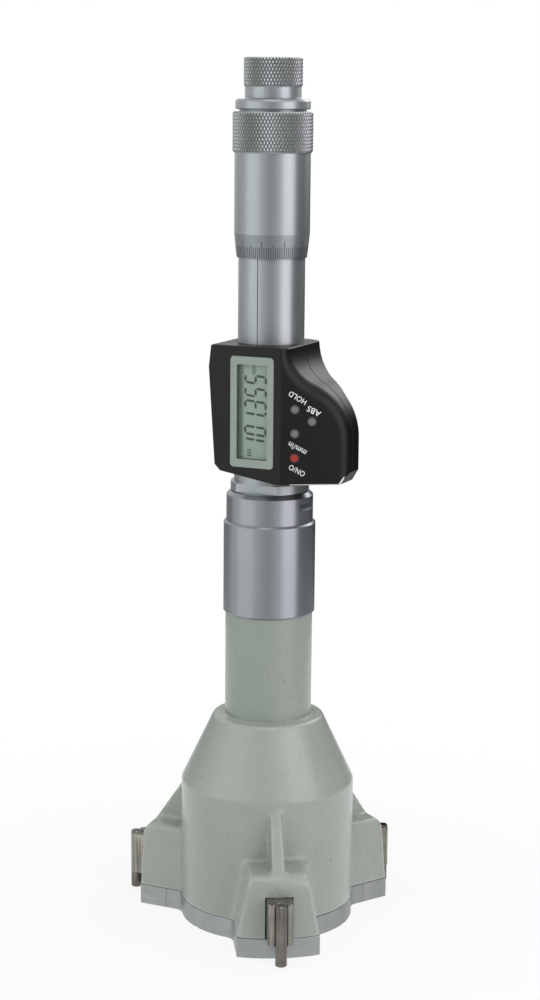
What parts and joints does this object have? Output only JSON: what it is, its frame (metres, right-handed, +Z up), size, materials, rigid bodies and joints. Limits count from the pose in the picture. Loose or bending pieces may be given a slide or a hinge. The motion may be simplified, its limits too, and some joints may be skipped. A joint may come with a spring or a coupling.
{
  "type": "inside micrometer",
  "caption": "Inside micrometer with a digital display: a thimble drives a cone that spreads radial anvils in a flared head, standing on its flat base plate.",
  "frame": {"origin": "on the instrument's axis, on the underside of the base plate", "axes": "+Z up the instrument's axis towards the ratchet knob; -Y is the way the display faces"},
  "size_m": [0.0823, 0.0882, 0.2789],
  "materials": {
    "painted_casting": "satin enamel over a cast surface, fine bumps",
    "satin_chrome": "satin chrome, turned",
    "knurled_steel": "satin chrome over diamond knurl",
    "ground_steel": "surface ground, bluish grey",
    "anvil_steel": "ground tool steel",
    "carbide": "lapped carbide",
    "black_plastic": "fine satin moulding",
    "bezel_silver": "grey printed border",
    "display_glass": "clear window",
    "display_grey": "reflective liquid crystal panel",
    "grey_rubber": "soft grey key",
    "red_rubber": "soft red key",
    "screw_steel": "plain steel",
    "spring_steel": "drawn wire",
    "bearing_bronze": "turned bronze",
    "board_green": "printed circuit board",
    "cell_steel": "nickel-plated can",
    "contact_brass": "spring brass"
  },
  "bodies": {
    "root": {"head_casting": "painted_casting", "neck_tube": "painted_casting", "base_plate": "ground_steel", "guide_cover_1": "ground_steel", "guide_cover_2": "ground_steel", "guide_cover_3": "ground_steel", "plate_screws": "screw_steel", "guide_bush": "bearing_bronze", "return_spring": "spring_steel", "coupling_sleeve": "satin_chrome", "coupling_ring": "satin_chrome", "frame_tube": "satin_chrome", "scale_sleeve": "satin_chrome", "inner_sleeve": "ground_steel", "adjusting_nut": "ground_steel", "front_shell": "black_plastic", "rear_shell": "black_plastic", "battery_cover": "satin_chrome", "case_screws": "screw_steel", "display_bezel": "bezel_silver", "display_window": "display_glass", "display_panel": "display_grey", "circuit_board": "board_green", "switch_board": "board_green", "battery": "cell_steel", "battery_contact": "contact_brass", "encoder_stator": "board_green", "rotor_seat": "bearing_bronze"},
    "rod": {"push_rod": "ground_steel", "contact_ball": "carbide", "measuring_cone": "ground_steel"},
    "thimble": {"thimble": "satin_chrome", "thimble_cap": "satin_chrome", "spindle": "ground_steel", "ratchet_screw": "screw_steel"},
    "knob": {"ratchet_knob": "knurled_steel", "friction_spring": "spring_steel", "friction_disc": "bearing_bronze"},
    "encoder": {"encoder_rotor": "board_green"},
    "anvil_1": {"anvil_1": "anvil_steel", "contact_pin_1": "carbide"},
    "anvil_2": {"anvil_2": "anvil_steel", "contact_pin_2": "carbide"},
    "anvil_3": {"anvil_3": "anvil_steel", "contact_pin_3": "carbide"},
    "hold": {"hold_button": "grey_rubber"},
    "abs": {"abs_button": "grey_rubber"},
    "unit": {"unit_button": "grey_rubber"},
    "power": {"power_button": "red_rubber"}
  },
  "joints": [
    {"name": "rod_feed", "type": "slide", "parent": "root", "child": "rod", "axis": [0, 0, -1], "range_m": [-0.00136, 0.02364], "deforming": ["return_spring"]},
    {"name": "thimble_turn", "type": "hinge", "parent": "rod", "child": "thimble", "pos_m": [0, 0, 0.24], "axis": [0, 0, -1], "range_deg": [-975.6, 17024.4]},
    {"name": "knob_turn", "type": "hinge", "parent": "thimble", "child": "knob", "pos_m": [0, 0, 0.27], "axis": [0, 0, -1], "continuous": true},
    {"name": "encoder_turn", "type": "hinge", "parent": "root", "child": "encoder", "pos_m": [0, 0, 0.163], "axis": [0, 0, -1], "range_deg": [-975.6, 17024.4]},
    {"name": "anvil_1_slide", "type": "slide", "parent": "root", "child": "anvil_1", "axis": [0.5, -0.866, 0], "range_m": [-0.00068, 0.01182]},
    {"name": "anvil_2_slide", "type": "slide", "parent": "root", "child": "anvil_2", "axis": [0.5, 0.866, 0], "range_m": [-0.00068, 0.01182]},
    {"name": "anvil_3_slide", "type": "slide", "parent": "root", "child": "anvil_3", "axis": [-1, 0, 0], "range_m": [-0.00068, 0.01182]},
    {"name": "hold_press", "type": "slide", "parent": "root", "child": "hold", "axis": [-0.5, 0.866, 0], "range_m": [0, 0.0004], "stiffness_N_per_m": 900, "springref_m": -0.0002},
    {"name": "abs_press", "type": "slide", "parent": "root", "child": "abs", "axis": [-0.5, 0.866, 0], "range_m": [0, 0.0004], "stiffness_N_per_m": 900, "springref_m": -0.0002},
    {"name": "unit_press", "type": "slide", "parent": "root", "child": "unit", "axis": [-0.5, 0.866, 0], "range_m": [0, 0.0004], "stiffness_N_per_m": 900, "springref_m": -0.0002},
    {"name": "power_press", "type": "slide", "parent": "root", "child": "power", "axis": [-0.5, 0.866, 0], "range_m": [0, 0.0004], "stiffness_N_per_m": 900, "springref_m": -0.0002}
  ],
  "couplings": [
    {"joint": "thimble_turn", "follows": "rod_feed", "rad_per_m": 12566},
    {"joint": "encoder_turn", "follows": "rod_feed", "rad_per_m": 12566},
    {"joint": "anvil_1_slide", "follows": "rod_feed", "ratio": 0.5},
    {"joint": "anvil_2_slide", "follows": "rod_feed", "ratio": 0.5},
    {"joint": "anvil_3_slide", "follows": "rod_feed", "ratio": 0.5}
  ]
}
